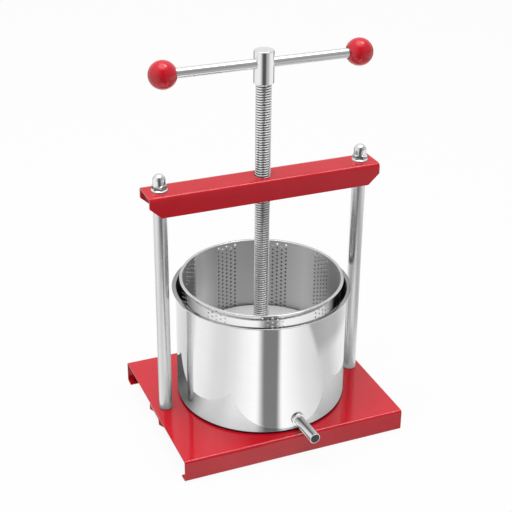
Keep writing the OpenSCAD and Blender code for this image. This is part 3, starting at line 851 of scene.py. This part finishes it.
for side, first_column in ((1, -cells // 2), (-1, around // 2 - cells // 2)):
    block_columns = (first_column + np.arange(cells)) % around
    keep[first_row:first_row + cells, block_columns] = False
    border = numbers[first_row + rows, (first_column + columns) % around]
    at_border = (np.stack([columns - cells / 2, rows - cells / 2], -1)
                 * (2 * pi / around, 2 * reach / cells))
    wide = cross_r + cross_bevel
    at_hole = np.stack([np.arcsin(wide * np.cos(turn) / head_r), wide * np.sin(turn)], -1)
    share = np.array([1 / 3, 2 / 3, 1])[:, None, None]
    spread = at_border + (at_hole - at_border) * share
    skin = np.stack([side * head_r * np.cos(spread[..., 0]),
                     side * head_r * np.sin(spread[..., 0]), bar_z + spread[..., 1]], -1)
    depth_in = np.sqrt(head_r ** 2 - (wide * np.cos(turn)) ** 2) - cross_bevel
    wall = np.stack([side * depth_in, side * cross_r * np.cos(turn),
                     bar_z + cross_r * np.sin(turn)], -1)[None]
    sides.append((border, np.concatenate([skin, wall])))
count = numbers.size
right = count + np.arange(4 * 4 * cells).reshape(4, -1)
left = right + right.size
back_order = (cells - np.arange(4 * cells)) % (4 * cells)
rings = np.concatenate([sides[0][0][None], right, left[::-1][:, back_order],
                        sides[1][0][None][:, back_order]])
points = np.concatenate([points.reshape(-1, 3), sides[0][1].reshape(-1, 3),
                         sides[1][1].reshape(-1, 3)])
faces = np.concatenate([faces[keep].reshape(-1, 4), quads(rings).reshape(-1, 4)])
head_finish = polished_steel("turned_head", 0.90, 0.10, 0.04, 0.8)
make_piece("spindle_head", points, faces, head_finish, "screw", "polished_steel",
           "screw_head")

# ---- T-bar ----
# A polished round steel bar that slides through the head. Each end has a shoulder and a
# thinner tang for its knob.


def turned_along_x(path, around, x, z):
    """Surface of revolution about a line along X: path points are (radius, distance)."""
    points, numbers = turned(path, around)
    return np.stack([points[..., 2] + x, points[..., 0], points[..., 1] + z], -1), numbers


def bar_steel(name):
    """Polished bar: the polish runs round it, so the noise is fine along X."""
    place, dress = new_finish(name)
    x, y, z = place.split()
    lines = place.join(x * 900, y * 12, z * 12).noise(1.0, 3, 0.6)
    colour = lines.step(0.25, 0.75).blend((0.86, 0.86, 0.865, 1), (0.90, 0.90, 0.90, 1))
    return dress({"Base Color": colour, "Metallic": 1.0,
                  "Roughness": lines.step(0.2, 0.8, 0.12, 0.17),
                  "Normal": relief(lines, 0.02, 0.0001)})


knob_span, knob_r, flat_r, tang_r, tang_l, knob_bore = 235, 16, 7.5, 4, 16, 4.05
knob_flat = sqrt(knob_r ** 2 - flat_r ** 2)
shoulder = knob_span / 2 - knob_flat
tip = shoulder + tang_l
half_bar = rounded_path([(0, tip), (tang_r, tip), (tang_r, shoulder), (bar_r, shoulder),
                         (bar_r, 0)], [0, 0.8, 0, 0.3, 0], 4)[:-1]
middle = np.stack([np.full(9, bar_r), np.linspace(-90, 90, 9)], -1)
path = np.concatenate([half_bar * (1, -1), middle, half_bar[::-1]])
points, numbers = turned_along_x(path, 64, 0, bar_z)
make_piece("t_bar", points, quads(numbers), bar_steel("bar_steel"), "handle",
           "polished_steel", "handle_bar")

# ---- Ball knobs ----
# Glossy balls moulded of red plastic, 32 mm across. Each has a flat with a blind hole, and is
# pushed on the bar's tang until the flat meets the shoulder.


def moulded_red(name):
    """Glossy red plastic: faint flow marks in its colour, a slight waviness and a few fine
    scratches in its gloss. Polished steel sees it as a painted reflection, dark grey instead
    of red."""
    place, dress = new_finish(name)
    flow = place.noise(60, 3, 0.5)
    scuff = place.noise(900, 2, 0.6).step(0.62, 0.72)
    plastic = flow.step(0.3, 0.7).blend((0.58, 0.0050, 0.0170, 1), (0.63, 0.0070, 0.0210, 1))
    # Painted reflection: to polished steel the knobs are dark grey.
    return dress({"Base Color": place.ray("Glossy").blend(plastic, (0.14, 0.14, 0.14, 1)),
                  "IOR": 1.55, "Roughness": flow * 0.04 + scuff * 0.03 + 0.11,
                  "Normal": relief(flow, 0.01, 0.0002)})


knob_red = moulded_red("moulded_red")
sweep = np.linspace(pi, asin(flat_r / knob_r), 40)
ball = np.stack([knob_r * np.sin(sweep), knob_r * np.cos(sweep)], -1)[:-1]
bore_end = knob_flat - tang_l - 0.5
face = rounded_path([ball[-1], (flat_r, knob_flat), (knob_bore, knob_flat),
                     (knob_bore, bore_end), (0, bore_end)], [0, 0.5, 0.3, 0, 0], 4)[1:]
for side, word in ((-1, "left"), (1, "right")):
    points, numbers = turned_along_x(np.concatenate([ball, face]) * (1, -side), 96,
                                     side * knob_span / 2, bar_z)
    make_piece("ball_" + word, points, quads(numbers), knob_red, "handle", "red_plastic",
               "knob_" + word)

# ---- Bench, surroundings and light ----
# A plain white bench. What shines reflects a white sheet round the press and a dim room
# beyond it, in front; the light is soft and comes from above and from all round.


def room_round(azimuth):
    """Brightness of the room by direction: dim in front, where the camera stands, and white
    behind. azimuth is counted from the camera's side, as a share of a turn plus a half."""
    stops = [(-180, .86), (-98, .80), (-75, 1.0), (-55, .88), (-43, .72), (-31, .55),
             (-20, .38), (-9, .19), (2, .09), (13, .09), (24, .17), (35, .27), (60, .42),
             (87, .50), (104, .52), (124, .70), (150, .86), (180, .86)]
    return azimuth.by_direction(stops)


bench_mesh = bpy.data.meshes.new("bench")
bench_half, bench_z = 4, -0.0002
bench_mesh.from_pydata([(sx * bench_half, sy * bench_half, bench_z)
                        for sx, sy in ((-1, -1), (1, -1), (1, 1), (-1, 1))], [],
                       [(0, 1, 2, 3)])
bench = new_object("bench", bench_mesh)
bench_white = bpy.data.materials.new("bench_white")
bench_white.use_nodes = True
bench_white.cycles.emission_sampling = "NONE"
tree = bench_white.node_tree
tree.nodes.clear()
start = Wire(tree)
place = start.add("TexCoord", output=3)
x, y, z = place.split()
azimuth = azimuth_of(x, y)
radius = start.maths("SQRT", x * x + y * y)
near = azimuth.by_direction([(a * 0.8, v) for a, v in (
    (-180, .90), (-113, .68), (-102, .98), (-81, .92), (-65, .80), (-50, .77), (-35, .86),
    (-22, 1.0), (-9, 1.1), (31, 1.1), (46, .98), (60, .86), (77, .78), (96, .66),
    (107, .66), (134, .88), (156, .93), (180, .93))])
wedge = dark_wedge(x, y) * y.step(-0.151, -0.146, 1, 0)
near = near * (1 - wedge * 0.8)
outer = azimuth.by_direction([
    (-180, .08), (-142, .08), (-128, .90), (-58, .95), (-35, .85), (-16, .25), (-6, .09),
    (20, .09), (30, .38), (58, .60), (74, .90), (128, .95), (142, .08), (180, .08)])
outwards = radius.step(0.62, 0.80)
far = room_round(azimuth) * (1 - outwards) + outer * outwards
border = azimuth.by_direction([
    (-180, .55), (-60, .55), (-35, .43), (48, .44), (70, .27), (150, .26), (180, .55)])
away = (radius - border).step(-0.01, 0.045)
in_gloss = (near * (1 - away) + far * away).grey()
speckle = place.noise(400, 2)
matt = start.add("BsdfDiffuse", {}, {"Color": speckle.step(0.2, 0.8).blend(
    (0.68, 0.68, 0.68, 1), (0.72, 0.72, 0.72, 1))})
white = start.add("Emission", {}, {"Color": (1, 1, 1, 1), "Strength": 1.0})
shown = start.add("MixShader", {}, {0: 0.06, 1: white, 2: matt})
in_steel = start.add("Emission", {}, {"Color": in_gloss, "Strength": 1.0})
direct = start.ray("Camera").choose(matt, shown)
start.add("OutputMaterial", {}, {0: start.ray("Glossy").choose(direct, in_steel)})
bench.data.materials.append(bench_white)

world = bpy.data.worlds.new("studio")
bpy.context.scene.world = world
world.use_nodes = True
world.cycles.sampling_method = "NONE"
tree = world.node_tree
tree.nodes.clear()
start = Wire(tree)
x, y, z = start.add("TexCoord", output=0).split()
azimuth = azimuth_of(x, y)
height = start.maths("ARCTAN2", z, start.maths("SQRT", x * x + y * y)) * (180 / pi)
over = height.step(46, 62)
zenith = height.step(62, 70)
skylight = (azimuth.step(0.72, 0.76) * azimuth.step(0.86, 0.90, 1, 0)
            * height.step(60, 64) * height.step(76, 82, 1, 0))
behind = ((azimuth.step(0.06, 0.10, 1, 0) + azimuth.step(0.90, 0.94)) * height.step(19, 21)
          * height.step(27, 31, 1, 0))
in_gloss = (room_round(azimuth) * (1 - over) * (1 - behind * 0.35) + over * 1.1
            + zenith * 1.7 + skylight * 4.5).grey()
ambient = start.add("Background", {}, {"Color": (1, 1, 1, 1), "Strength": 0.35})
gloss = start.add("Background", {}, {"Color": in_gloss, "Strength": 1.0})
white = start.add("Background", {}, {"Color": (1, 1, 1, 1), "Strength": 1.0})
seen = start.maths("MAXIMUM", start.ray("Camera"), start.ray("Transmission"))
unseen = start.ray("Glossy").choose(ambient, gloss)
start.add("OutputWorld", {}, {0: seen.choose(unseen, white)})

lamp = bpy.data.lights.new("softbox", "AREA")
lamp.shape = "SQUARE"
lamp.size = 2.4
lamp.energy = 148
softbox = new_object("softbox", lamp)
softbox.location = (-0.3, -0.1, 3.9)
softbox.visible_glossy = False
softbox.visible_camera = False
bpy.context.scene.view_settings.view_transform = "Standard"
